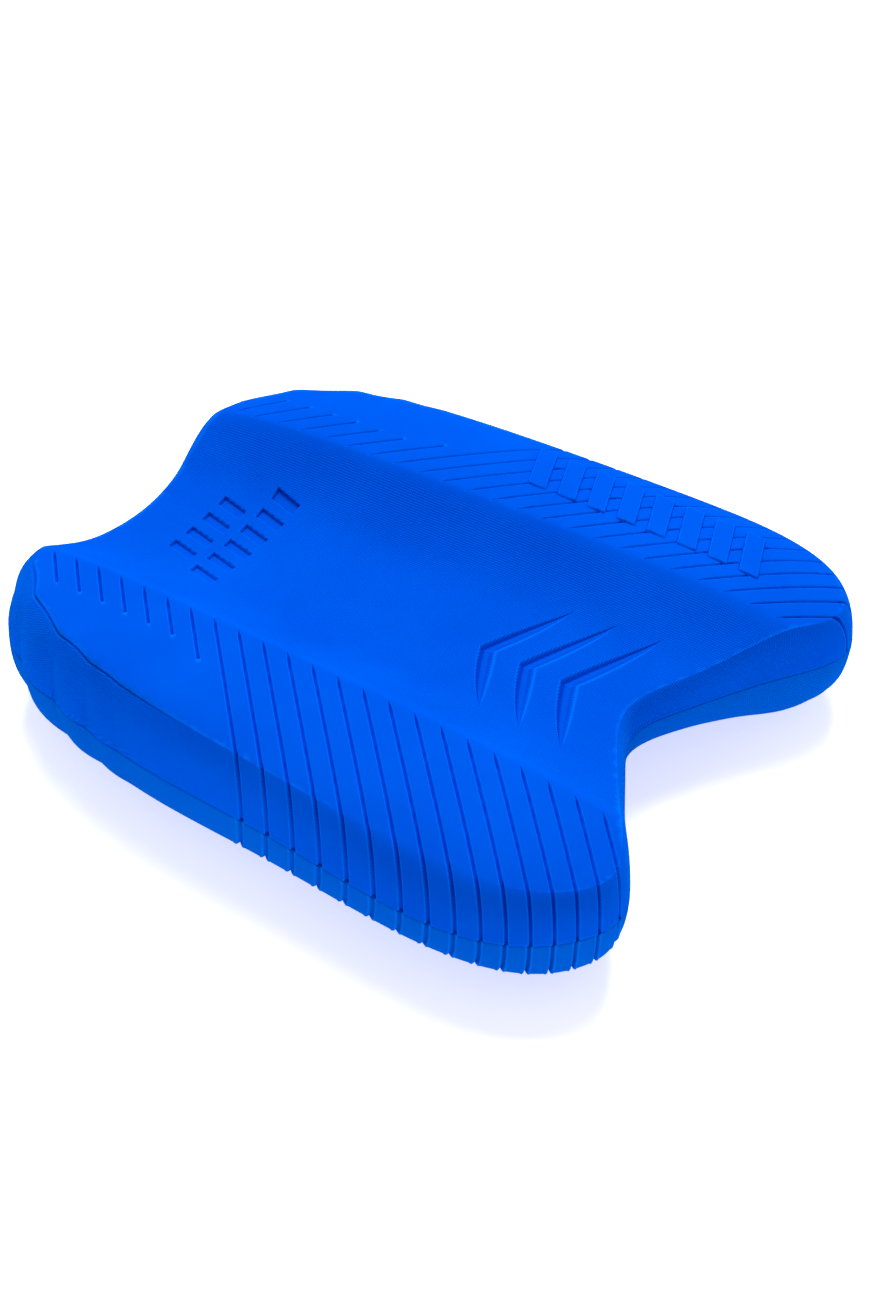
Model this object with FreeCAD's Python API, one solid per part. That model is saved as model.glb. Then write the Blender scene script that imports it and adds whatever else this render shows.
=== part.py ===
import FreeCAD, Part
import os

from FreeCAD import Vector

# Pull buoy: a soft foam float that a swimmer holds between the thighs.
# Two moulded foam halves, each with a thigh saddle between two lobes, are bonded flat to flat.
# Frame: millimetres, +Z up, Y is the length (the notched end faces -Y), X is the width.
# The origin is the centre of the footprint, on the surface that the float lies on.

# ---- Driving dimensions ----
THICKNESS = 61.0            # over the lobes
BOND_THICKNESS = 0.4        # adhesive film between the halves
BOND_SETBACK = 1.5          # the film stops this far inside the edge of the halves
PARTING_HEIGHT = 30.3       # underside of the film
REST_LAND_DEPTH = 0.7       # how much of the lower crown is trimmed flat to rest on

# Right-hand half of the plan outline at the bond line, from the notch round to the rear
# hollow. A closed smooth curve runs through these points and their mirror images.
# (x, y, inset of the upper crease, inset of the lower crease, height of the creases
# from the bond line, outward swell of the finger grips)
HALF_OUTLINE = [
    (0.0, -96.8, 3.5, 4.5, 11.5, 0.0),          # bottom of the front notch
    (22.0, -105.2, 3.5, 5.0, 12.5, 0.0),
    (56.0, -125.4, 3.0, 6.5, 20.0, 0.0),
    (85.5, -139.4, 4.5, 7.0, 18.0, 0.0),        # nose of the lobe
    (107.6, -126.6, 6.4, 9.0, 19.0, 0.0),
    (118.8, -105.8, 8.8, 14.5, 20.5, 0.0),
    (121.2, -66.0, 8.4, 23.0, 23.0, 0.0),       # widest place
    (115.6, -13.0, 5.4, 26.0, 26.0, 0.0),
    (108.9, 55.0, 5.4, 24.5, 28.5, 0.0),        # first valley of the finger grips
    (107.4, 63.5, 5.3, 24.0, 29.0, 0.7),
    (105.4, 71.5, 5.2, 23.5, 29.0, 0.0),
    (102.9, 81.2, 5.1, 22.5, 29.5, 1.4),
    (99.9, 90.5, 5.2, 22.0, 29.5, 0.0),
    (95.0, 102.8, 6.8, 20.5, 29.5, 2.2),
    (88.8, 114.0, 8.2, 19.5, 29.5, 0.0),
    (82.0, 122.7, 8.7, 18.5, 29.0, 2.0),
    (74.0, 130.2, 8.8, 17.5, 28.0, 0.0),
    (65.4, 136.0, 8.8, 16.5, 27.0, 0.8),
    (56.0, 139.2, 8.6, 16.0, 26.0, 0.0),        # rear end of the lobe
    (28.0, 133.6, 3.4, 11.0, 14.0, 0.0),
    (0.0, 130.2, 2.6, 9.0, 11.5, 0.0),          # rear hollow
]
CREASE_REACH = 1.12         # the walls run this far past the creases, where the crown cuts them

# The insets grow with the height from the bond line: a straight part and a rounded part.
UPPER_LEAN = 0.45
UPPER_ROUNDING = 5
LOWER_LEAN = 0.0
LOWER_ROUNDING = 4
# The grips swell most at the bond line and die out towards the upper crease.
UPPER_SWELL_FADE = 1.0
LOWER_SWELL_FADE = 0.3
WALL_HEIGHTS = [0.0, 7.0, 14.0, 19.0, 23.0, 26.5, 30.3]

# Cross profile of a saddle and its lobes:
# (distance from the centre line / distance of the ridge, height as a share of the depth).
SADDLE_PROFILE = [(0.0, -1.0), (0.30, -0.955), (0.57, -0.775), (0.72, -0.55), (0.82, -0.365),
                  (0.92, -0.16), (1.01, -0.02), (1.12, 0.0)]
# Outer slope of a lobe: (distance from the centre line, drop below the ridge).
LOBE_SLOPE = [(84.0, -0.8), (100.0, -2.4), (110.0, -4.8), (130.0, -12.0)]

# Along the length:
# (Y, distance of the ridge from the centre line, drop of the ridge, depth of the saddle).
CROWN_STATIONS = [
    (-150.0, 63.0, -17.0, 4.5),
    (-127.0, 62.6, -10.2, 10.2),
    (-106.0, 62.2, -6.4, 13.2),
    (-70.0, 61.1, -3.5, 15.5),
    (-20.0, 59.7, -1.5, 16.7),
    (45.0, 58.0, 0.0, 18.2),
    (95.0, 56.4, 0.0, 18.7),
    (122.0, 55.4, -2.4, 16.9),
    (150.0, 54.6, -10.0, 10.5),
]
CUTTER_REACH = 40.0         # how far the cutting blocks stand clear of the foam


def closed_curve(points):
    """Smooth closed curve through the points."""
    curve = Part.BSplineCurve()
    curve.interpolate(Points=points, PeriodicFlag=True)
    return curve


def outline_points(moves, height):
    """Points of the closed plan outline at a height, each moved inwards by its own amount."""
    right = [Vector(row[0], row[1], height) for row in HALF_OUTLINE]
    left = [Vector(-p.x, p.y, height) for p in reversed(right[1:-1])]
    points = right + left
    curve = closed_curve(points)
    both = moves + moves[-2:0:-1]
    moved = []
    for point, move in zip(points, both):
        tangent = curve.tangent(curve.parameter(point))[0]
        moved.append(point + Vector(-tangent.y, tangent.x, 0) * move)
    return moved


def outline_wire(moves, height):
    """The plan outline at a height, moved inwards point by point, as a closed wire."""
    return Part.Wire([closed_curve(outline_points(moves, height)).toShape()])


def wall_moves(rise, inset_column, lean, rounding, fade):
    """How far the wall lies inside each outline point, at a rise from the bond line."""
    moves = []
    for row in HALF_OUTLINE:
        share = min(rise / row[4], CREASE_REACH)
        inset = row[inset_column] * (lean * share + (1 - lean) * share ** rounding)
        swell = row[5] * (1 - fade * min(share, 1.0))
        moves.append(inset - swell)
    return moves


def crown_heights(ridge, drop, depth):
    """(x, z) points across one lobe, with the highest part of the ridge at z = 0."""
    points = [(share * ridge, height * depth + drop) for share, height in SADDLE_PROFILE]
    points += [(x, height + drop) for x, height in LOBE_SLOPE]
    return points


def crown_section(y, ridge, drop, depth):
    """Closed section of everything above the crowned saddle surface."""
    right = [Vector(x, y, z) for x, z in crown_heights(ridge, drop, depth)]
    left = [Vector(-p.x, y, p.z) for p in reversed(right[1:])]
    curve = Part.BSplineCurve()
    curve.interpolate(Points=left + right)
    low_left = left[0]
    low_right = right[-1]
    high_left = Vector(low_left.x, y, CUTTER_REACH)
    high_right = Vector(low_right.x, y, CUTTER_REACH)
    return Part.Wire([
        curve.toShape(),
        Part.makeLine(low_right, high_right),
        Part.makeLine(high_right, high_left),
        Part.makeLine(high_left, low_left),
    ])


def above_crown():
    """Block that fills the space above the saddle and the lobes."""
    return Part.makeLoft([crown_section(*station) for station in CROWN_STATIONS], True, False)


def mirrored_in_height(shape, height):
    """The shape turned over about a level plane."""
    return shape.mirror(Vector(0, 0, height), Vector(0, 0, 1))


def upper_half():
    """Top foam half: steep wall, crease, saddle between two crowned lobes."""
    wires = []
    for rise in WALL_HEIGHTS:
        moves = wall_moves(rise, 2, UPPER_LEAN, UPPER_ROUNDING, UPPER_SWELL_FADE)
        wires.append(outline_wire(moves, PARTING_HEIGHT + BOND_THICKNESS + rise))
    cutter = above_crown()
    cutter.translate(Vector(0, 0, THICKNESS))
    return Part.makeLoft(wires, True, False).cut(cutter)


def lower_half():
    """Bottom foam half: wall rounded under, the same saddle, flat rest lands."""
    wires = []
    for rise in WALL_HEIGHTS:
        moves = wall_moves(rise, 3, LOWER_LEAN, LOWER_ROUNDING, LOWER_SWELL_FADE)
        wires.append(outline_wire(moves, PARTING_HEIGHT - rise))
    cutter = above_crown()
    cutter.translate(Vector(0, 0, THICKNESS + REST_LAND_DEPTH))
    under = mirrored_in_height(cutter, THICKNESS / 2)
    return Part.makeLoft(wires, True, False).cut(under)


def bond_film():
    """Thin adhesive film that joins the halves, set back from their edges."""
    wire = outline_wire([BOND_SETBACK] * len(HALF_OUTLINE), PARTING_HEIGHT)
    return Part.Face(wire).extrude(Vector(0, 0, BOND_THICKNESS))


def single_solid(shape, name):
    """The one valid solid inside a shape."""
    solids = shape.Solids
    if len(solids) != 1 or not solids[0].isValid():
        raise ValueError(f"{name}: {len(solids)} solids, or not valid")
    return solids[0]


os.makedirs("parts", exist_ok=True)
PIECES = {
    "upper_foam_half": upper_half,
    "lower_foam_half": lower_half,
    "bond_film": bond_film,
}
for node, make in PIECES.items():
    solid = single_solid(make(), node)
    solid.exportStep(f"parts/{node}.step")
    box = solid.optimalBoundingBox(False, False)
    print(f"{node}: x {box.XMin:.2f} {box.XMax:.2f}  y {box.YMin:.2f} {box.YMax:.2f}"
          f"  z {box.ZMin:.2f} {box.ZMax:.2f}")
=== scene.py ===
import math

import bpy
import numpy as np
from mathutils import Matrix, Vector
from mathutils.geometry import delaunay_2d_cdt
from mathutils.kdtree import KDTree


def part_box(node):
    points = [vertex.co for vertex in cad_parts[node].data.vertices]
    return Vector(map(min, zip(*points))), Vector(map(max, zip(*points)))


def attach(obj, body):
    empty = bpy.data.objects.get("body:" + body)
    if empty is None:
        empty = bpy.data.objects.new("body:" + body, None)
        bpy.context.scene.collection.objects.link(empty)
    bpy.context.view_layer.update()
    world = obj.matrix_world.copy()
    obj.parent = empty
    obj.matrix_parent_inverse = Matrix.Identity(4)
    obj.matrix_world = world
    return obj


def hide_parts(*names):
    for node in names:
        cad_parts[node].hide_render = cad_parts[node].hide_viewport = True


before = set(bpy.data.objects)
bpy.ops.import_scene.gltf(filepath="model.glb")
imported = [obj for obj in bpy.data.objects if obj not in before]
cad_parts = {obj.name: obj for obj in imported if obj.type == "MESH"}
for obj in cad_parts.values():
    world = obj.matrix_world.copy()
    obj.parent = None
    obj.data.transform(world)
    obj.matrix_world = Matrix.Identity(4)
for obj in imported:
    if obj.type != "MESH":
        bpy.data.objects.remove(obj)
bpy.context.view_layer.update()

# Pull buoy in moulded foam. Lengths are millimetres until a mesh is made, then metres.
# The frame is the CAD frame: +Z up, the notched front faces -Y, the origin is under the middle.
#
# Both halves are built as a top half. A crowned face fills the ring, which is the plan curve where the
# wall starts, and the wall runs from the ring out and down to the bond line. The moulded detail is then
# pushed in along the normals of that smooth surface, and the lower half is turned over.
MM = 0.001
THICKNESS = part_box("upper_foam_half")[1].z / MM
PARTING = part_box("upper_foam_half")[0].z / MM      # underside of the top half

# ---- Plan outline at the bond line: (x, y, inset of the ring on the upper half, inset on the lower half)
HALF_OUTLINE = [
    (0.0, -96.8, 3.5, 4.5),         # bottom of the front notch
    (22.0, -105.2, 3.5, 5.0),
    (56.0, -125.4, 3.0, 6.5),
    (85.5, -139.4, 4.5, 7.0),       # nose of the lobe
    (107.6, -126.6, 6.4, 9.0),
    (118.8, -105.8, 8.8, 14.5),
    (121.2, -66.0, 8.4, 23.0),      # widest place
    (115.6, -13.0, 5.4, 26.0),
    (110.0, 50.0, 5.4, 25.0),
    (100.8, 87.6, 5.0, 22.0),
    (85.3, 120.3, 8.8, 19.0),       # rear corner
    (56.0, 139.2, 8.6, 16.0),       # rear end of the lobe
    (28.0, 133.6, 3.4, 11.0),
    (0.0, 130.2, 2.6, 9.0),         # rear hollow
]
OUTLINE_WRAP = 4            # rows repeated past the ends, so that the spline closes smoothly
OUTLINE_SAMPLES = 4000
TANGENT_STEP = 0.05

# ---- Crown of the saddle and the lobes
# (share of the way from the centre line to the ridge, height as a share of the saddle's depth)
SADDLE_PROFILE = [(0.0, -1.0), (0.30, -0.955), (0.57, -0.775), (0.72, -0.55), (0.82, -0.365),
                  (0.92, -0.16), (1.0, 0.0)]
RIM_SLOPE = 2.0             # slope of that profile where it meets the ridge
RIDGE_SOFTNESS = 0.55
RIDGE_REGAIN = 0.3          # share of the softness that the ridge gets back in height
# (distance from the centre line, height above the ridge)
LOBE_SLOPE = [(60.0, 0.0), (70.0, -0.2), (84.0, -0.8), (100.0, -2.4), (110.0, -4.8), (125.0, -10.0)]
# (y, distance of the ridge from the centre line, height of the ridge, height of the saddle floor)
CROWN_STATIONS = [
    (-150.0, 63.0, 44.0, 39.5),
    (-127.0, 62.6, 50.8, 40.6),
    (-106.0, 62.2, 54.6, 41.4),
    (-70.0, 61.1, 57.5, 42.0),
    (-20.0, 59.7, 59.5, 42.8),
    (45.0, 58.0, 61.0, 42.8),
    (95.0, 56.4, 61.0, 42.3),
    (122.0, 55.4, 58.6, 41.7),
    (150.0, 54.6, 51.0, 40.5),
]
REST_LAND_DEPTH = 0.7       # the lower crown is trimmed flat by this much

# ---- Grooves that cross the lobes
GROOVE_PITCH = 11.05
FIRST_GROOVE_Y = 124.5
SHORT_GROOVES = 6           # these stop on the lobe
SHORT_LENGTH = 22.7
MIDDLE_LENGTH = 29.7        # the one after them is a little longer
GROOVE_COUNT = 23
GROOVE_SLOPE = -0.925       # dy/dx of a groove on the right-hand lobe
FULL_GROOVE = 200.0         # any length from here on means that a groove runs over the edge
GROOVE_CLEARANCE = 1.5      # a short groove stops this far from the edge of the lobe
GROOVE_PROBE = 0.5          # spacing of the places where that is tried
# (distance from the middle of the groove, depth)
GROOVE_PROFILE = [(0.0, 1.6), (0.32, 1.4), (0.80, 0.0), (1.15, -0.28), (1.75, 0.0)]
GROOVE_TAPER = 6.0          # a groove starts as a point over this length
GROOVE_STOPS = [0.0, 1.5, 3.0, 4.5, GROOVE_TAPER]       # distances of its first mesh points
GROOVE_STEP = 2.5           # spacing of the other mesh points along it
GROOVE_LAST_STEP = 0.5      # shortest step before its end
GROOVE_POINT = 0.25         # its width at the point, as a share
GROOVE_ONSET = (-0.2, 4.8)  # its depth grows between these distances from the point
GROOVE_END = 1.0            # a short groove comes back up over this length
SHORTEST_GROOVE = 8.0       # a groove that would be shorter is left out
LOWER_GROOVE_SHIFT = 0.7    # the lower grooves are a little out of line with the upper ones
WALL_GROOVE_FADE = 0.4      # share of its depth that a groove loses on the way down the wall

# ---- Three sunk chevrons in the saddle: (rear apex, front apex, half span, y of the tips)
CHEVRONS = [(-30.1, -37.4, 32.8, -50.6), (-47.2, -54.6, 34.9, -68.5), (-64.6, -72.4, 36.5, -86.8)]
CHEVRON_DEPTH = 1.9
# (share of the way from the rear edge to the front edge, share of the depth)
CHEVRON_PROFILE = [(-0.26, 0.0), (-0.11, -0.3), (0.02, -0.12), (0.17, 0.95),
                   (0.36, 0.83), (0.54, 0.66), (0.72, 0.5), (0.94, -0.07), (1.15, 0.0)]
CHEVRON_BOW = 8.0           # the rear edge of an arm bows by a quarter of this at its middle
CHEVRON_FRONT_BOW = 0.3     # how much the front edge bows the other way, as a share
CHEVRON_STEPS = 96
CHEVRON_TIP = 0.8           # the mesh lines of a chevron stop this far from its tips
CHEVRON_FOOT = 0.4          # one more mesh line, this far behind the rear edge

# ---- Sunk mark at the rear of the saddle: two rows of slanted bars
BAR_ROWS = [(97.5, -15.5, 4), (80.0, -25.0, 6)]     # (middle y, x of the first bar, number)
BAR_PITCH = 10.6
BAR_WIDTH = 5.6
BAR_HEIGHT = 13.5
BAR_SLANT = 3.6
BAR_DEPTH = 1.6
BAR_WALL = 0.3
BAR_MESH_LINES = (0.35, 0.0, -BAR_WALL, -BAR_WALL - 0.8)        # distances outside the edge of a bar

# ---- Raised bars on the right-hand lobe
RAISED_COUNT = 8
RAISED_FIRST = (89.5, -2.5)
RAISED_PITCH = 13.2
RAISED_LENGTH = 24.0        # across the lobe
RAISED_WIDTH = 7.4
RAISED_SLANT = 9.0
RAISED_HEIGHT = 0.9
RAISED_WALL = 0.35
RAISED_CLEAR = 0.8          # the grooves stop this far from a bar
RAISED_MESH_LINES = (RAISED_CLEAR, RAISED_WALL, 0.0, -0.4)      # distances outside the edge of a bar

# ---- Wall from the ring to the bond line, as Bezier points: (share of the way out, share of the way down)
UPPER_WALL = [(0.0, 0.0), (0.42, 0.09), (0.92, 0.38), (1.0, 1.0)]
UPPER_REAR_WALL = [(0.0, 0.0), (0.38, 0.12), (0.98, 0.26), (1.0, 1.0)]
LOWER_WALL = [(0.0, 0.0), (0.56, 0.0), (1.0, 0.42), (1.0, 1.0)]
REAR_WALL_Y = (-90.0, 30.0)             # the front profile passes into the rear one between these
WALL_STEPS = np.concatenate([[0.04, 0.09], np.linspace(0.15, 0.95, 15)])
LIP = [(0.9, 0.0), (0.25, 0.02), (-0.12, 0.22), (-0.17, 0.7), (0.0, 1.0)]   # (height above bond line, inset)
LIP_STEP = 0.6                          # length that a row of the lip adds to the knurl's path
# Between these places, as measured by across_grooves, the mesh columns follow the grooves.
FOLLOW_FROM = (-74.0, -62.0)
FOLLOW_UNTIL = (101.0, 135.0)
REAR_CORNER = (87.0, 122.0)             # past this place on the outline they don't

# ---- Crease where the upper wall starts, from the middle of each side to the rear
CREASE_DEPTH = 0.8
CREASE_Y = (5.0, 70.0)      # it deepens between these places
SIDE_X = (60.0, 72.0)       # from here out, the ring counts as the outside of a lobe

# ---- Finger grips: bulges between valleys round each rear corner
GRIP_VALLEYS = [(55.0, 139.3), (69.5, 133.3), (87.6, 115.0), (99.9, 90.5), (105.2, 71.5), (108.8, 55.0)]
GRIP_BULGES = [2.0, 2.4, 2.2, 1.8, 0.9]
GRIP_ROUNDNESS = 1.25
# (height above the bond line, share of the bulge)
UPPER_GRIP = [(0.0, 0.9), (10.0, 0.85), (20.0, 0.3), (31.0, -0.8)]
LOWER_GRIP = [(0.0, 0.9), (12.0, 1.0), (31.0, 0.5)]

# ---- Knurl: full in the saddle and behind the grips, weak on the sides, none on the lobes
KNURL_EDGE = (-7.0, 1.0)    # it fades between these distances from the ridge
SIDE_SMOOTHNESS = 0.7       # share that it loses on the sides
KNURLED_REAR = (125.0, 150.0)           # it comes back between these, as measured by across_grooves

# ---- Mesh
FILL_STEP = 2.3             # spacing of the free mesh points
FILL_ROW = 0.87             # height of a row of them, as a share of the spacing
FILL_CLEARANCE = 0.62       # how clear they stay of the fixed points, as a share of the spacing
FILL_MARGIN = 1.0           # how clear they stay of the ring
EDGE_STEP = 2.6             # longest step along an outline or a line of a mark
COLUMN_CLEARANCE = 1.1      # a plain wall column stays this far from one at a groove or a valley
COLUMN_DIGITS = 4           # columns that agree to these decimals are one
RING_SAMPLES = 2400
FITTING_SAMPLES = 600       # places on the ring that the short grooves are fitted to
RIDGE_MESH_LINES = (-2.6, -1.2, 0.0, 1.3)       # distances outside the ridge
RIDGE_MARGIN = 0.9          # they stop this far from the ring
WELD = 1e-5                 # points nearer than this become one
RELIEF_RANGE = (-0.6, 0.17)             # of the attribute that gives edges a painted highlight and hollows painted shade


# ------------------------------------------------------------------ curves
def spline(knots, values):
    """Natural cubic spline through values at knots. Values may have several columns."""
    knots = np.asarray(knots, float)
    values = np.asarray(values, float)
    if values.ndim == 1:
        values = values[:, None]
    count = len(knots)
    gap = np.diff(knots)
    matrix = np.eye(count)
    right = np.zeros_like(values)
    for i in range(1, count - 1):
        matrix[i, i - 1:i + 2] = gap[i - 1], 2 * (gap[i - 1] + gap[i]), gap[i]
        right[i] = 3 * ((values[i + 1] - values[i]) / gap[i] - (values[i] - values[i - 1]) / gap[i - 1])
    second = np.linalg.solve(matrix, right)

    def evaluate(at):
        at = np.asarray(at, float)
        i = np.clip(np.searchsorted(knots, at) - 1, 0, count - 2)
        step = (np.clip(at, knots[0], knots[-1]) - knots[i])[..., None]
        width = gap[i][..., None]
        slope = (values[i + 1] - values[i]) / width - width * (2 * second[i] + second[i + 1]) / 3
        cubic = (second[i + 1] - second[i]) / (3 * width)
        result = values[i] + step * (slope + step * (second[i] + step * cubic))
        return result[..., 0] if result.shape[-1] == 1 else result

    return evaluate


def closed_spline(points):
    """Smooth closed curve through rows whose first two columns are x and y.
    Returns a function of the chord length from the first row, and the whole length."""
    rows = np.vstack([points[-OUTLINE_WRAP:], points, points[:OUTLINE_WRAP + 1]])
    chord = np.concatenate([[0], np.cumsum(np.hypot(*np.diff(rows[:, :2], axis=0).T))])
    chord -= chord[OUTLINE_WRAP]
    return spline(chord, rows), chord[OUTLINE_WRAP + len(points)]


def bezier(points, shares):
    """Points of a cubic Bezier curve at shares of its way."""
    a, b, c, d = [np.asarray(point, float) for point in points]
    w = np.asarray(shares)[:, None]
    return a * (1 - w) ** 3 + 3 * b * w * (1 - w) ** 2 + 3 * c * w * w * (1 - w) + d * w ** 3


def smooth_step(x, low, high):
    """Rises smoothly from 0 at low to 1 at high."""
    t = np.clip((x - low) / (high - low), 0, 1)
    return t * t * (3 - 2 * t)


# ------------------------------------------------------------------ polygons
def subdivided(points):
    """Points along a closed polygon, with none further apart than the edge step."""
    rows = []
    for start, end in zip(points, np.roll(points, -1, axis=0)):
        count = max(1, math.ceil(np.hypot(*(end - start)) / EDGE_STEP))
        rows += [start + (end - start) * i / count for i in range(count)]
    return np.array(rows)


def offset_polygon(points, distance):
    """A counter-clockwise polygon grown outwards by a distance, with mitred corners."""
    before = points - np.roll(points, 1, axis=0)
    after = np.roll(points, -1, axis=0) - points
    normals = []
    for edge in (before, after):
        edge = edge / np.hypot(edge[:, 0], edge[:, 1])[:, None]
        normals.append(np.column_stack([edge[:, 1], -edge[:, 0]]))
    mitre = normals[0] + normals[1]
    mitre /= (1 + np.sum(normals[0] * normals[1], axis=1))[:, None]
    return points + mitre * distance


def polygon_distance(at, polygon):
    """Signed distance from points to a polygon, negative inside it."""
    nearest = np.full(len(at), np.inf)
    inside = np.zeros(len(at), bool)
    for a, b in zip(polygon, np.roll(polygon, -1, axis=0)):
        edge = b - a
        along = np.clip(((at - a) @ edge) / (edge @ edge), 0, 1)
        nearest = np.minimum(nearest, np.hypot(*(at - a - along[:, None] * edge).T))
        crosses = (a[1] > at[:, 1]) != (b[1] > at[:, 1])
        if a[1] != b[1]:
            inside ^= crosses & (at[:, 0] < a[0] + (at[:, 1] - a[1]) / (b[1] - a[1]) * edge[0])
    return np.where(inside, -nearest, nearest)


# ------------------------------------------------------------------ outline and crown
right_side = np.array(HALF_OUTLINE)
left_side = right_side[-2:0:-1] * (-1, 1, 1, 1)
outline, outline_length = closed_spline(np.vstack([right_side, left_side]))
outline_stations = np.linspace(0, outline_length, OUTLINE_SAMPLES + 1)
outline_points = outline(outline_stations)
crown = spline([row[0] for row in CROWN_STATIONS], [row[1:] for row in CROWN_STATIONS])


def outline_parameter(x, y):
    """Chord parameter of the outline point nearest to a plan point."""
    return outline_stations[np.argmin(np.hypot(outline_points[:, 0] - x, outline_points[:, 1] - y))]


def mirrored_parameter(t):
    """Outline parameters brought over to the right-hand side."""
    return np.where(t > outline_length / 2, outline_length - t, t)


def outline_frame(t):
    """Outline points with their inward normals and the values carried at the knots."""
    rows = outline(t % outline_length)
    ahead = outline((t + TANGENT_STEP) % outline_length)
    behind = outline((t - TANGENT_STEP) % outline_length)
    tangent = ahead[:, :2] - behind[:, :2]
    tangent /= np.hypot(tangent[:, 0], tangent[:, 1])[:, None]
    return rows[:, :2], np.column_stack([-tangent[:, 1], tangent[:, 0]]), rows[:, 2:]


def saddle_rise(share):
    """Height of the saddle under its ridge, as a share of its depth."""
    mirrored = [(-a, h) for a, h in SADDLE_PROFILE[:0:-1]] + SADDLE_PROFILE
    inner = spline([row[0] for row in mirrored], [row[1] for row in mirrored])
    return inner(np.minimum(share, 1.0)) + RIM_SLOPE * np.maximum(share - 1.0, 0.0)


def terrain(x, y):
    """Height of the crowned top surface: the saddle where it is lower than the lobe, else the lobe."""
    ridge, top, floor = crown(y).T
    x = np.abs(x)
    saddle = (top - floor) * saddle_rise(x / ridge)
    lobe_x, lobe_height = zip(*LOBE_SLOPE)
    outer = spline(lobe_x, lobe_height)
    lobe = np.where(x > lobe_x[0], outer(np.clip(x, lobe_x[0], lobe_x[-1])), 0.0)
    lower = saddle + lobe - np.hypot(saddle - lobe, RIDGE_SOFTNESS)
    return top + 0.5 * (lower + RIDGE_SOFTNESS * RIDGE_REGAIN)


# ------------------------------------------------------------------ moulded detail
def across_grooves(at):
    """Coordinate that is constant along a groove."""
    return at[:, 1] - GROOVE_SLOPE * np.abs(at[:, 0])


def groove_frames(shift):
    """(start, direction, length) of each groove on the right-hand lobe."""
    direction = np.array([1.0, GROOVE_SLOPE]) / math.hypot(1.0, GROOVE_SLOPE)
    frames = []
    for k in range(GROOVE_COUNT):
        y = FIRST_GROOVE_Y - GROOVE_PITCH * k + shift
        length = math.inf
        if k < SHORT_GROOVES:
            length = SHORT_LENGTH
        elif k == SHORT_GROOVES:
            length = MIDDLE_LENGTH
        frames.append((np.array([crown(y)[0], y]), direction, length))
    return frames


def groove_taper(along, length):
    """Width and depth of a groove as shares, at distances along it."""
    width = GROOVE_POINT + (1 - GROOVE_POINT) * smooth_step(along, 0, GROOVE_TAPER)
    depth = smooth_step(along, *GROOVE_ONSET)
    return width, depth * np.clip((length + GROOVE_END - along) / GROOVE_END, 0, 1)


def stronger(one, two):
    """The deeper or the higher of two depths, whichever is further from the smooth surface."""
    return np.where((two > 0) & (two > one), two, np.where((one <= 0) & (two < one), two, one))


def groove_depth(at, grooves):
    """Depth of the grooves at plan points; their raised rims are negative."""
    at = np.column_stack([np.abs(at[:, 0]), at[:, 1]])
    offsets, depths = zip(*GROOVE_PROFILE)
    total = np.zeros(len(at))
    for start, direction, length in grooves:
        away = at - start
        along = away @ direction
        across = np.abs(away @ np.array([-direction[1], direction[0]]))
        width, depth = groove_taper(along, length)
        total = stronger(total, depth * np.interp(across / width, offsets, depths))
    return total


def chevron_edges(x, chevron):
    """y of the rear and the front edge of a chevron."""
    rear, front, reach, tip = chevron
    share = np.abs(x) / reach
    bow = CHEVRON_BOW * share * (1 - share)
    return rear + (tip - rear) * share + bow, front + (tip - front) * share - CHEVRON_FRONT_BOW * bow


def chevron_depth(at):
    """Depth of the chevrons at plan points; their raised rims are negative."""
    shares, depths = zip(*CHEVRON_PROFILE)
    total = np.zeros(len(at))
    for chevron in CHEVRONS:
        reach = chevron[2]
        rear, front = chevron_edges(at[:, 0], chevron)
        share = (rear - at[:, 1]) / np.maximum(rear - front, 1e-3)
        inside = (share < shares[-1]) & (rear > front) & (np.abs(at[:, 0]) < reach)
        fade = np.sqrt(np.clip(1 - np.abs(at[:, 0]) / reach, 0, 1))
        depth = np.interp(share, shares, depths) * fade * CHEVRON_DEPTH
        total = stronger(total, np.where(inside, depth, 0))
    return total


def bar_polygons():
    """The sunk bars of the mark, as plan polygons."""
    polygons = []
    for middle, first, count in BAR_ROWS:
        low, high = middle - BAR_HEIGHT / 2, middle + BAR_HEIGHT / 2
        for i in range(count):
            x = first + i * BAR_PITCH
            polygons.append(np.array([
                (x - BAR_SLANT / 2, low), (x - BAR_SLANT / 2 + BAR_WIDTH, low),
                (x + BAR_SLANT / 2 + BAR_WIDTH, high), (x + BAR_SLANT / 2, high)]))
    return polygons


def raised_polygons():
    """The raised bars on the lobe, as plan polygons."""
    x, first = RAISED_FIRST
    reach, half, lean = RAISED_LENGTH / 2, RAISED_WIDTH / 2, RAISED_SLANT / 2
    middles = [first - i * RAISED_PITCH for i in range(RAISED_COUNT)]
    return [np.array([(x - reach, y - half - lean), (x + reach, y - half + lean),
                      (x + reach, y + half + lean), (x - reach, y + half - lean)]) for y in middles]


def surface_depth(at, marked, grooves):
    """How far the moulded detail lies under the smooth surface; raised detail is negative."""
    total = groove_depth(at, grooves) + chevron_depth(at)
    if not marked:
        return total
    for polygon in bar_polygons():
        gap = polygon_distance(at, polygon)
        total = np.maximum(total, BAR_DEPTH * np.clip(-gap / BAR_WALL, 0, 1))
    for polygon in raised_polygons():
        gap = polygon_distance(at, polygon)
        total *= np.clip((gap - RAISED_WALL) / (RAISED_CLEAR - RAISED_WALL), 0, 1)
        total -= RAISED_HEIGHT * np.clip(1 - gap / RAISED_WALL, 0, 1)
    return total


def grip_bulge(t):
    """Size of the finger-grip bulge at outline parameters."""
    mirrored = mirrored_parameter(t % outline_length)
    valleys = [outline_parameter(x, y) for x, y in GRIP_VALLEYS][::-1]
    total = np.zeros(len(t))
    for low, high, size in zip(valleys[:-1], valleys[1:], GRIP_BULGES[::-1]):
        share = np.clip((mirrored - low) / (high - low), 0, 1)
        total += size * np.sin(np.pi * share) ** GRIP_ROUNDNESS
    return total


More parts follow.
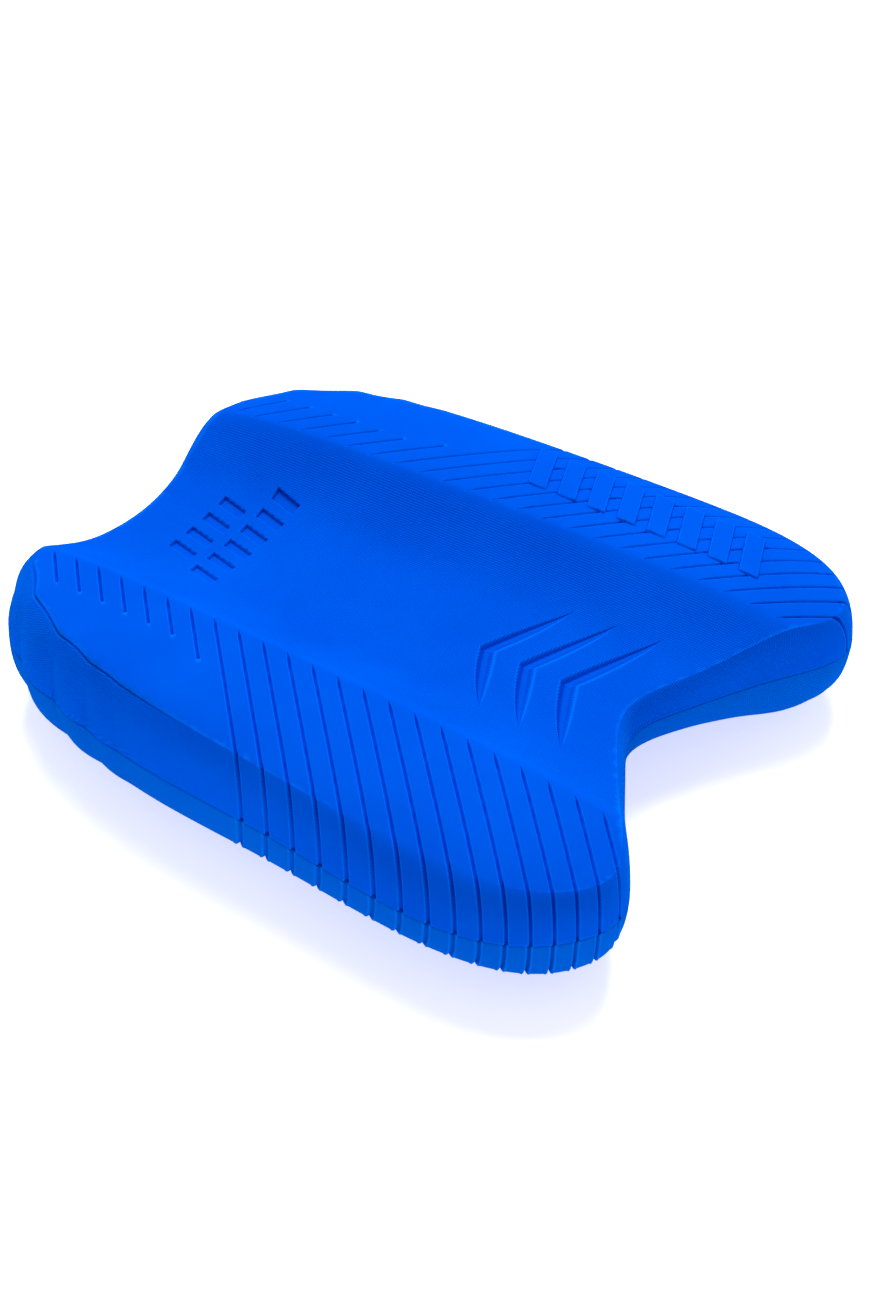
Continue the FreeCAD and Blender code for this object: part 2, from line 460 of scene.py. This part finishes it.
# ------------------------------------------------------------------ the two halves
class HalfShape:
    """What differs between the two halves."""

    def __init__(self, name, lower):
        self.name = name
        self.lower = lower
        self.inset_column = 1 if lower else 0       # of the two insets in HALF_OUTLINE
        self.lift = REST_LAND_DEPTH if lower else 0.0
        self.ceiling = THICKNESS if lower else math.inf
        self.wall = LOWER_WALL if lower else UPPER_WALL
        self.rear_wall = LOWER_WALL if lower else UPPER_REAR_WALL
        self.grip = LOWER_GRIP if lower else UPPER_GRIP
        self.crease_depth = 0.0 if lower else CREASE_DEPTH
        self.grooves = fitted_grooves(self, LOWER_GROOVE_SHIFT if lower else 0.0)

    def height(self, at):
        """Height of the smooth crowned face at plan points."""
        return np.minimum(terrain(at[:, 0], at[:, 1]) + self.lift, self.ceiling)

    def ring(self, t):
        """Plan points where the wall starts, at outline parameters."""
        points, inward, values = outline_frame(t)
        inset = values[:, self.inset_column] - grip_bulge(t) * self.grip[-1][1]
        return points + inward * inset[:, None]


def fitted_grooves(shape, shift):
    """The grooves of a half. The short ones are cut back where they come near the edge of the lobe."""
    ring = shape.ring(np.linspace(0, outline_length, FITTING_SAMPLES + 1)[:-1])
    kept = []
    for start, direction, length in groove_frames(shift):
        if length < FULL_GROOVE:
            stops = np.arange(0, length, GROOVE_PROBE)
            gap = polygon_distance(start + direction * stops[:, None], ring)
            near = np.where(gap > -GROOVE_CLEARANCE)[0]
            length = stops[near[0]] if len(near) else length
        if length > SHORTEST_GROOVE:
            kept.append((start, direction, length))
    return kept


# ------------------------------------------------------------------ lines that the mesh follows
def groove_lines(shape):
    """Mesh lines along every groove edge: lists of plan points, and whether each runs over the ring."""
    offsets = sorted({sign * row[0] for row in GROOVE_PROFILE[1:] for sign in (-1, 1)})
    lines = []
    for start, direction, length in shape.grooves:
        normal = np.array([-direction[1], direction[0]])
        full = length >= FULL_GROOVE
        reach = min(length, FULL_GROOVE)
        even = np.arange(GROOVE_TAPER + GROOVE_STEP, reach - GROOVE_LAST_STEP, GROOVE_STEP)
        last = [reach] if full else [reach, reach + GROOVE_END]
        stops = np.concatenate([GROOVE_STOPS, even, last])
        width, _ = groove_taper(stops, length)
        for offset in offsets:
            points = start + direction * stops[:, None] + normal * (offset * width)[:, None]
            lines += [(points, full), (points * (-1, 1), full)]
    return lines


def first_crossing(line, ring):
    """Where a line from inside first crosses the ring: (index in the line, position on the ring)."""
    sides = np.roll(ring, -1, axis=0) - ring
    for i in range(len(line) - 1):
        step = line[i + 1] - line[i]
        away = ring - line[i]
        with np.errstate(divide="ignore", invalid="ignore"):
            cross = step[0] * sides[:, 1] - step[1] * sides[:, 0]
            along_line = (away[:, 0] * sides[:, 1] - away[:, 1] * sides[:, 0]) / cross
            along_side = (away[:, 0] * step[1] - away[:, 1] * step[0]) / cross
        hit = np.where((along_line >= 0) & (along_line <= 1) & (along_side >= 0) & (along_side < 1))[0]
        if len(hit):
            side = hit[np.argmin(along_line[hit])]
            return i, side + along_side[side]
    return None


def ring_stations(shape):
    """Outline parameters of the wall columns, and the groove lines: (plan points, parameter of the
    column where a line ends, or None)."""
    dense = np.linspace(0, outline_length, RING_SAMPLES + 1)[:-1]
    ring = shape.ring(dense)
    exact = []
    lines = []
    for line, full in groove_lines(shape):
        if not full:
            lines.append((line, None))
            continue
        hit = first_crossing(line, ring)
        if hit is None:
            continue
        index, position = hit
        t = position * outline_length / len(dense)
        lines.append((line[:index + 1], t))
        exact.append(t)
    for x, y in GRIP_VALLEYS:
        t = outline_parameter(x, y)
        exact += [t, outline_length - t]
    exact = np.unique(np.round(exact, COLUMN_DIGITS))
    plain = np.linspace(0, outline_length, round(outline_length / EDGE_STEP) + 1)[:-1]
    gap = np.min(np.abs(plain[:, None] - exact[None, :]), axis=1)
    return np.sort(np.concatenate([exact, plain[gap > COLUMN_CLEARANCE]])), lines


def mark_lines(shape, ring):
    """Mesh lines of the chevrons, the ridges and the bars: (plan points, whether they close)."""
    lines = []
    for chevron in CHEVRONS:
        reach = chevron[2] - CHEVRON_TIP
        xs = np.linspace(-reach, reach, CHEVRON_STEPS + 1)
        rear, front = chevron_edges(xs, chevron)
        for share, _ in CHEVRON_PROFILE:
            lines.append((np.column_stack([xs, rear + (front - rear) * share]), False))
        lines.append((np.column_stack([xs, rear + CHEVRON_FOOT]), False))
    ys = np.arange(CROWN_STATIONS[0][0], CROWN_STATIONS[-1][0], EDGE_STEP)
    for offset in RIDGE_MESH_LINES:
        line = np.column_stack([crown(ys)[:, 0] + offset, ys])
        line = line[polygon_distance(line, ring) < -RIDGE_MARGIN]
        lines += [(line, False), (line * (-1, 1), False)]
    if shape.lower:
        return lines
    for polygons, offsets in ((bar_polygons(), BAR_MESH_LINES), (raised_polygons(), RAISED_MESH_LINES)):
        for polygon in polygons:
            lines += [(subdivided(offset_polygon(polygon, offset)), True) for offset in offsets]
    return lines


def fill_points(ring, fixed):
    """Free mesh points inside the ring, kept clear of the fixed ones."""
    low, high = ring.min(0), ring.max(0)
    rows = []
    for i, y in enumerate(np.arange(low[1], high[1], FILL_STEP * FILL_ROW)):
        xs = np.arange(low[0] + (i % 2) * FILL_STEP / 2, high[0], FILL_STEP)
        rows.append(np.column_stack([xs, np.full(len(xs), y)]))
    points = np.vstack(rows)
    points = points[polygon_distance(points, ring[::2]) < -FILL_MARGIN]
    tree = KDTree(len(fixed))
    for i, (x, y) in enumerate(fixed):
        tree.insert((x, y, 0), i)
    tree.balance()
    keep = [tree.find((x, y, 0))[2] > FILL_CLEARANCE * FILL_STEP for x, y in points]
    return points[keep]


# ------------------------------------------------------------------ faces
def triangulated(points, edges):
    """Constrained triangles through plan points. Only what the edges enclose is filled."""
    return delaunay_2d_cdt([Vector(point) for point in points], edges, [], 1, WELD)


def crown_mesh(shape, t, lines):
    """Triangles of the crowned face inside the ring. The first plan points are the ring itself."""
    ring = shape.ring(t)
    points = [ring]
    edges = [(i, (i + 1) % len(t)) for i in range(len(t))]
    count = len(ring)
    for line, end in lines:
        points.append(line)
        edges += [(count + i, count + i + 1) for i in range(len(line) - 1)]
        if end is not None:
            edges.append((count + len(line) - 1, int(np.argmin(np.abs(t - end)))))
        count += len(line)
    for line, closed in mark_lines(shape, ring):
        points.append(line)
        edges += [(count + i, count + i + 1) for i in range(len(line) - 1)]
        if closed:
            edges.append((count + len(line) - 1, count))
        count += len(line)
    points.append(fill_points(ring, np.vstack(points)))
    found = triangulated(np.vstack(points), edges)
    place = np.array([tuple(point) for point in found[0]])
    new_index = {source: i for i, sources in enumerate(found[3]) for source in sources}
    order = [new_index[i] for i in range(len(ring))]
    taken = set(order)
    order += [i for i in range(len(place)) if i not in taken]
    rank = np.empty(len(place), int)
    rank[order] = np.arange(len(place))
    faces = [[int(rank[i]) for i in face] for face in found[2]]
    return place[order], faces


def wall_faces(inner, columns, rows):
    """Quads between the ring and the rows of the wall, whose vertices follow the inner ones."""
    starts = [0] + [inner + i * columns for i in range(rows)]
    faces = []
    for upper, under in zip(starts[:-1], starts[1:]):
        for i in range(columns):
            j = (i + 1) % columns
            faces.append((upper + i, under + i, under + j, upper + j))
    return faces


def underside_faces(edge, first):
    """Flat face inside the last row of the wall, whose vertices start at an index."""
    loop = [(i, (i + 1) % len(edge)) for i in range(len(edge))]
    return [tuple(first + i for i in reversed(face)) for face in triangulated(edge, loop)[2]]


# ------------------------------------------------------------------ wall
def wall_foot(shape, t):
    """Outline parameter where each wall column meets the bond line. Where grooves cross the wall,
    a column follows their direction, and elsewhere the normal."""
    corner = outline_parameter(*REAR_CORNER)
    mirrored = mirrored_parameter(t)
    table_t = outline_stations[outline_stations <= corner]
    table_q = across_grooves(outline_points[:len(table_t)])
    q = across_grooves(shape.ring(t))
    along = np.interp(q, table_q, table_t)
    weight = smooth_step(q, *FOLLOW_FROM) * (1 - smooth_step(q, *FOLLOW_UNTIL))
    weight = np.where(mirrored > corner, 0.0, weight)
    foot = mirrored * (1 - weight) + along * weight
    return np.where(t > outline_length / 2, outline_length - foot, foot)


def wall_rows(shape, t, ring, ring_height, ring_depth):
    """Rows of wall vertices from the ring to the bond line: (place, depth of detail, knurl, plan place).
    The plan place is the wall laid out flat, so that the knurl isn't stretched."""
    foot_t = wall_foot(shape, t)
    reach = outline_frame(foot_t)[0] - ring
    run = np.hypot(reach[:, 0], reach[:, 1])
    outward = reach / run[:, None]
    bulge = grip_bulge(foot_t)
    grip_heights, grip_shares = np.array(shape.grip).T
    on_side = smooth_step(np.abs(ring[:, 0]), *SIDE_X)
    knurl = 1 - SIDE_SMOOTHNESS * on_side * (1 - smooth_step(across_grooves(ring), *KNURLED_REAR))

    def row(share_out, height, inset, depth, path):
        swell = bulge * np.interp(height - PARTING, grip_heights, grip_shares)
        start = bulge * grip_shares[-1] * (1 - share_out)
        at = ring + reach * np.reshape(share_out, (-1, 1)) + outward * (swell - start - inset)[:, None]
        return np.column_stack([at, height]), depth, knurl, ring + outward * path[:, None]

    drop = ring_height - PARTING
    rear = smooth_step(ring[:, 1], *REAR_WALL_Y)[:, None, None]
    profile = bezier(shape.wall, WALL_STEPS) * (1 - rear) + bezier(shape.rear_wall, WALL_STEPS) * rear
    path = np.zeros(len(t))
    before = np.zeros((2, len(t)))
    rows = []
    for i in range(len(WALL_STEPS)):
        out, down = profile[:, i].T
        path = path + np.hypot((out - before[0]) * run, (down - before[1]) * drop)
        before = np.array([out, down])
        depth = ring_depth * (1 - WALL_GROOVE_FADE * down)
        if i == 0:
            depth = depth + shape.crease_depth * on_side * smooth_step(ring[:, 1], *CREASE_Y)
        rows.append(row(out, ring_height - down * drop, 0.0, depth, path))
    for height, inset in LIP:
        path = path + LIP_STEP
        level = np.full(len(t), PARTING + height)
        rows.append(row(1.0, level, inset, ring_depth * (1 - WALL_GROOVE_FADE), path))
    return rows


# ------------------------------------------------------------------ mesh of one half
def store_attribute(mesh, name, kind, field, values):
    """Add a vertex attribute, for the material to read."""
    attribute = mesh.attributes.new(name, kind, "POINT")
    attribute.data.foreach_set(field, values)


def edge_relief(mesh, place, normals):
    """How far each vertex stands out from its neighbours: positive on edges, negative in grooves."""
    ends = np.zeros(len(mesh.edges) * 2, int)
    mesh.edges.foreach_get("vertices", ends)
    ends = ends.reshape(-1, 2)
    total = np.zeros((len(place), 3))
    reach = np.zeros(len(place))
    count = np.zeros(len(place))
    size = np.linalg.norm(place[ends[:, 0]] - place[ends[:, 1]], axis=1)
    for one, other in ((0, 1), (1, 0)):
        np.add.at(total, ends[:, one], place[ends[:, other]])
        np.add.at(reach, ends[:, one], size)
        np.add.at(count, ends[:, one], 1)
    rise = ((place - total / count[:, None]) * normals).sum(1)
    return np.clip(rise * count / reach, *RELIEF_RANGE)


def make_half(shape):
    """Mesh object of one half."""
    t, lines = ring_stations(shape)
    plan, faces = crown_mesh(shape, t, lines)
    columns = len(t)
    top = shape.height(plan)
    depth = surface_depth(plan, not shape.lower, shape.grooves)
    from_ridge = np.abs(plan[:, 0]) - crown(plan[:, 1])[:, 0]
    knurl = 1 - smooth_step(from_ridge, *KNURL_EDGE)
    wall = wall_rows(shape, t, plan[:columns], top[:columns], depth[:columns])
    rows = [(np.column_stack([plan, top]), depth, knurl, plan)] + wall
    places, depths, knurls, plans = zip(*rows)
    place = np.vstack(places)
    bond_edge = len(place) - columns
    faces += wall_faces(len(plan), columns, len(wall))
    faces += underside_faces(place[bond_edge:, :2], bond_edge)

    mesh = bpy.data.meshes.new(shape.name)
    mesh.from_pydata(place.tolist(), [], [tuple(face) for face in faces])
    mesh.update()
    normals = np.zeros(len(place) * 3)
    mesh.vertex_normals.foreach_get("vector", normals)
    normals = normals.reshape(-1, 3)
    place -= normals * np.concatenate(depths)[:, None]
    place[bond_edge:, 2] = PARTING
    # Relief of each vertex, which drives the painted highlights on edges and the painted shade in hollows of
    # the foam colour
    store_attribute(mesh, "painted_light_relief", "FLOAT", "value", edge_relief(mesh, place, normals))
    if shape.lower:
        place[:, 2] = np.maximum(THICKNESS - place[:, 2], 0.0)
        mesh.flip_normals()
    mesh.vertices.foreach_set("co", (place * MM).ravel())
    store_attribute(mesh, "knurl", "FLOAT", "value", np.concatenate(knurls))
    flat = np.column_stack([np.vstack(plans) * MM, np.zeros(len(place))])
    store_attribute(mesh, "plan", "FLOAT_VECTOR", "vector", flat.ravel())
    mesh.polygons.foreach_set("use_smooth", [True] * len(mesh.polygons))
    mesh.update()
    half = bpy.data.objects.new(shape.name, mesh)
    bpy.context.scene.collection.objects.link(half)
    return half


# ------------------------------------------------------------------ materials, in metres
UPPER_BLUE = ((0.0, 0.115, 0.800, 1), (0.0, 0.036, 0.460, 1))       # (light, deep)
LOWER_BLUE = ((0.0, 0.122, 0.700, 1), (0.0, 0.050, 0.400, 1))
ADHESIVE_BLUE = ((0.001, 0.020, 0.20, 1), (0.001, 0.010, 0.12, 1))
SHEEN_TINT = (0.0, 0.6, 1.0, 1)
WEAVE_PITCH = 0.00125
BUMP_HEIGHT = 0.00015
# The share of the light blue is a sum of these, held between 0 and the highest. Besides random clouds of
# tone it holds painted light: painted shade in the dips of the knurl, painted highlights on raised edges and
# painted shade in grooves and hollows.
SHADE_BASE = 0.3
SHADE_CLOUDS = 0.4
# Painted shade on the knurl: darker in its dips, lighter on its points
PAINTED_WEAVE_SHADE = 0.24
# Painted highlight on raised edges and painted shade in grooves and hollows, from the relief
PAINTED_EDGE_HIGHLIGHT = 6.0
PAINTED_HIGHLIGHT_START = 0.05           # relief from which an edge gets a painted highlight
PAINTED_HOLLOW_SHADE = 2.0
SHADE_HIGHEST = 1.45
GRAIN_SCALE = 1400.0
CLOUD_SCALE = 22.0
# The foam's roughness is a sum of these.
ROUGH_BASE = 0.46
ROUGH_CLOUDS = 0.12
ROUGH_GRAIN = 0.08


class Nodes:
    """Short way to build a node tree."""

    def __init__(self, name):
        self.material = bpy.data.materials.new(name)
        self.material.use_nodes = True
        self.tree = self.material.node_tree
        self.shader = self.tree.nodes["Principled BSDF"]

    def add(self, kind, settings=None, **inputs):
        node = self.tree.nodes.new(kind)
        for key, value in (settings or {}).items():
            setattr(node, key, value)
        for key, value in inputs.items():
            self.put(node.inputs[key.replace("_", " ")], value)
        return node

    def put(self, socket, value):
        if isinstance(value, bpy.types.NodeSocket):
            self.tree.links.new(value, socket)
        else:
            socket.default_value = value

    def set_shader(self, **inputs):
        """Set inputs of the shader."""
        for key, value in inputs.items():
            self.put(self.shader.inputs[key.replace("_", " ")], value)

    def math(self, operation, *values):
        node = self.tree.nodes.new("ShaderNodeMath")
        node.operation = operation
        for socket, value in zip(node.inputs, values):
            self.put(socket, value)
        return node.outputs[0]

    def ranged(self, value, size, start):
        """A value from 0 to 1, scaled to a size from a start."""
        return self.math("ADD", self.math("MULTIPLY", value, size), start)

    def noise(self, place, **inputs):
        return self.add("ShaderNodeTexNoise", Vector=place, **inputs).outputs["Fac"]

    def mix(self, share, colours):
        """Colour between the deep one, at 0, and the light one, at 1. Shares above 1 go past it."""
        light, deep = colours
        node = self.add("ShaderNodeMix", {"data_type": "RGBA", "clamp_factor": False})
        for socket, value in zip((node.inputs[0], node.inputs[6], node.inputs[7]), (share, deep, light)):
            self.put(socket, value)
        return node.outputs[2]

    def attribute(self, name, output):
        return self.add("ShaderNodeAttribute", {"attribute_name": name}).outputs[output]


def weave_height(nodes):
    """Fine woven knurl of the mould, from -1 to 1, weighted by the knurl attribute. It drives the bump and
    also painted shade in the colour: darker in the dips, lighter on the points.
    """
    split = nodes.add("ShaderNodeSeparateXYZ", Vector=nodes.attribute("plan", "Vector"))
    x, y = split.outputs["X"], split.outputs["Y"]
    rate = 2 * math.pi / WEAVE_PITCH * math.sqrt(0.5)
    one = nodes.math("SINE", nodes.math("MULTIPLY", nodes.math("ADD", x, y), rate))
    two = nodes.math("SINE", nodes.math("MULTIPLY", nodes.math("SUBTRACT", x, y), rate))
    return nodes.math("MULTIPLY", nodes.math("MULTIPLY", one, two), nodes.attribute("knurl", "Fac"))


def foam_material(name, colours):
    """Moulded EVA skin: fine knurl where the mould had it, closed-cell grain all over. Its colour also
    carries painted highlights on raised edges and painted shade in grooves, hollows and the dips of the
    knurl.
    """
    nodes = Nodes(name)
    weave = weave_height(nodes)
    place = nodes.add("ShaderNodeTexCoord").outputs["Object"]
    grain = nodes.noise(place, Scale=GRAIN_SCALE, Detail=3.0, Roughness=0.6)
    clouds = nodes.noise(place, Scale=CLOUD_SCALE, Detail=4.0, Roughness=0.55)
    painted_light_relief = nodes.attribute("painted_light_relief", "Fac")
    # Painted highlight on raised edges and painted shade in grooves and hollows
    edges = nodes.math("MAXIMUM", nodes.math("SUBTRACT", painted_light_relief, PAINTED_HIGHLIGHT_START), 0.0)
    hollow_painted_shade = nodes.math("MINIMUM", painted_light_relief, 0.0)
    tone_and_painted_light = nodes.ranged(clouds, SHADE_CLOUDS, SHADE_BASE)
    # Painted shade on the knurl: darker in its dips, lighter on its points
    tone_and_painted_light = nodes.math("ADD", tone_and_painted_light, nodes.math("MULTIPLY", weave, PAINTED_WEAVE_SHADE))
    tone_and_painted_light = nodes.math("ADD", tone_and_painted_light, nodes.math("MULTIPLY", edges, PAINTED_EDGE_HIGHLIGHT))
    tone_and_painted_light = nodes.math("ADD", tone_and_painted_light, nodes.math("MULTIPLY", hollow_painted_shade, PAINTED_HOLLOW_SHADE))
    tone_and_painted_light = nodes.math("MAXIMUM", nodes.math("MINIMUM", tone_and_painted_light, SHADE_HIGHEST), 0.0)
    rough = nodes.ranged(clouds, ROUGH_CLOUDS, ROUGH_BASE)
    rough = nodes.math("ADD", rough, nodes.math("MULTIPLY", grain, ROUGH_GRAIN))
    bump = nodes.add("ShaderNodeBump", Strength=0.7, Distance=BUMP_HEIGHT, Height=weave)
    bump = nodes.add("ShaderNodeBump", Strength=0.6, Distance=BUMP_HEIGHT, Height=grain,
                     Normal=bump.outputs["Normal"])
    nodes.set_shader(Base_Color=nodes.mix(tone_and_painted_light, colours), Roughness=rough, Normal=bump.outputs["Normal"],
                     Specular_IOR_Level=0.0, Sheen_Weight=0.12, Sheen_Roughness=0.4, Sheen_Tint=SHEEN_TINT)
    return nodes.material


def adhesive_material():
    """Dark cured contact adhesive with a slightly uneven gloss."""
    nodes = Nodes("cured_adhesive")
    noise = nodes.noise(nodes.add("ShaderNodeTexCoord").outputs["Object"], Scale=300.0, Detail=3.0)
    bump = nodes.add("ShaderNodeBump", Strength=0.4, Distance=BUMP_HEIGHT, Height=noise)
    nodes.set_shader(Base_Color=nodes.mix(noise, ADHESIVE_BLUE), Roughness=nodes.ranged(noise, 0.2, 0.4),
                     Normal=bump.outputs["Normal"])
    return nodes.material


def floor_material():
    """Pale matt floor, bright enough to run into the horizon without a line."""
    nodes = Nodes("pale_floor")
    noise = nodes.noise(nodes.add("ShaderNodeTexCoord").outputs["Object"], Scale=4.0, Detail=2.0)
    nodes.set_shader(Base_Color=(0.92, 0.92, 0.92, 1), Roughness=nodes.ranged(noise, 0.1, 0.75),
                     Emission_Color=(1, 1, 1, 1), Emission_Strength=0.58)
    return nodes.material


# ------------------------------------------------------------------ stage, in metres
CAMERA_PLACE = (-0.629, -0.4221, 0.6361)
CAMERA_AZIMUTH = -56.80
CAMERA_ELEVATION = 38.86
CAMERA_LENS = 71.14
CAMERA_SENSOR = 36.0
FLOOR_SIZE = 60.0
KEY_PLACE = (1.65, 0.9, 3.25)
KEY_TARGET = (0, 0, 0.03)
KEY_SIZE = 2.0
KEY_POWER = 176
SKY_FADE = (0.05, 0.7, 1.00, 0.32)          # height of the sky from and to, brightness from and to


def add_camera():
    data = bpy.data.cameras.new("camera")
    data.lens = CAMERA_LENS
    data.sensor_width = CAMERA_SENSOR
    camera = bpy.data.objects.new("camera", data)
    camera.location = CAMERA_PLACE
    camera.rotation_euler = (math.radians(90 - CAMERA_ELEVATION), 0, math.radians(CAMERA_AZIMUTH))
    bpy.context.scene.collection.objects.link(camera)
    bpy.context.scene.camera = camera


def add_floor():
    mesh = bpy.data.meshes.new("floor")
    half = FLOOR_SIZE / 2
    corners = [(-half, -half, 0), (half, -half, 0), (half, half, 0), (-half, half, 0)]
    mesh.from_pydata(corners, [], [(0, 1, 2, 3)])
    floor = bpy.data.objects.new("floor", mesh)
    floor.data.materials.append(floor_material())
    bpy.context.scene.collection.objects.link(floor)


def add_key_light():
    data = bpy.data.lights.new("key", "AREA")
    data.shape = "RECTANGLE"
    data.size = KEY_SIZE
    data.size_y = KEY_SIZE
    data.energy = KEY_POWER
    lamp = bpy.data.objects.new("key", data)
    lamp.location = KEY_PLACE
    aim = Vector(KEY_TARGET) - Vector(KEY_PLACE)
    lamp.rotation_euler = aim.to_track_quat("-Z", "Y").to_euler()
    bpy.context.scene.collection.objects.link(lamp)


def add_sky():
    """White surroundings that are brightest at the horizon."""
    world = bpy.data.worlds.new("studio")
    world.use_nodes = True
    nodes, links = world.node_tree.nodes, world.node_tree.links
    nodes["Background"].inputs["Color"].default_value = (1, 1, 1, 1)
    place = nodes.new("ShaderNodeTexCoord")
    split = nodes.new("ShaderNodeSeparateXYZ")
    fade = nodes.new("ShaderNodeMapRange")
    for socket, value in zip(fade.inputs[1:5], SKY_FADE):
        socket.default_value = value
    links.new(place.outputs["Generated"], split.inputs[0])
    links.new(split.outputs["Z"], fade.inputs[0])
    links.new(fade.outputs[0], nodes["Background"].inputs["Strength"])
    bpy.context.scene.world = world


def add_half(name, node, slot, colours, lower):
    """One foam half in place of its CAD solid."""
    half = make_half(HalfShape(name, lower))
    half.data.materials.append(foam_material(slot, colours))
    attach(half, "root")
    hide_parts(node)


add_camera()
add_floor()
add_key_light()
add_sky()
bpy.context.scene.view_settings.view_transform = "Standard"

add_half("upper_foam", "upper_foam_half", "eva_foam_upper", UPPER_BLUE, lower=False)
add_half("lower_foam", "lower_foam_half", "eva_foam_lower", LOWER_BLUE, lower=True)

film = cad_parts["bond_film"]
film.data.materials.clear()
film.data.materials.append(adhesive_material())
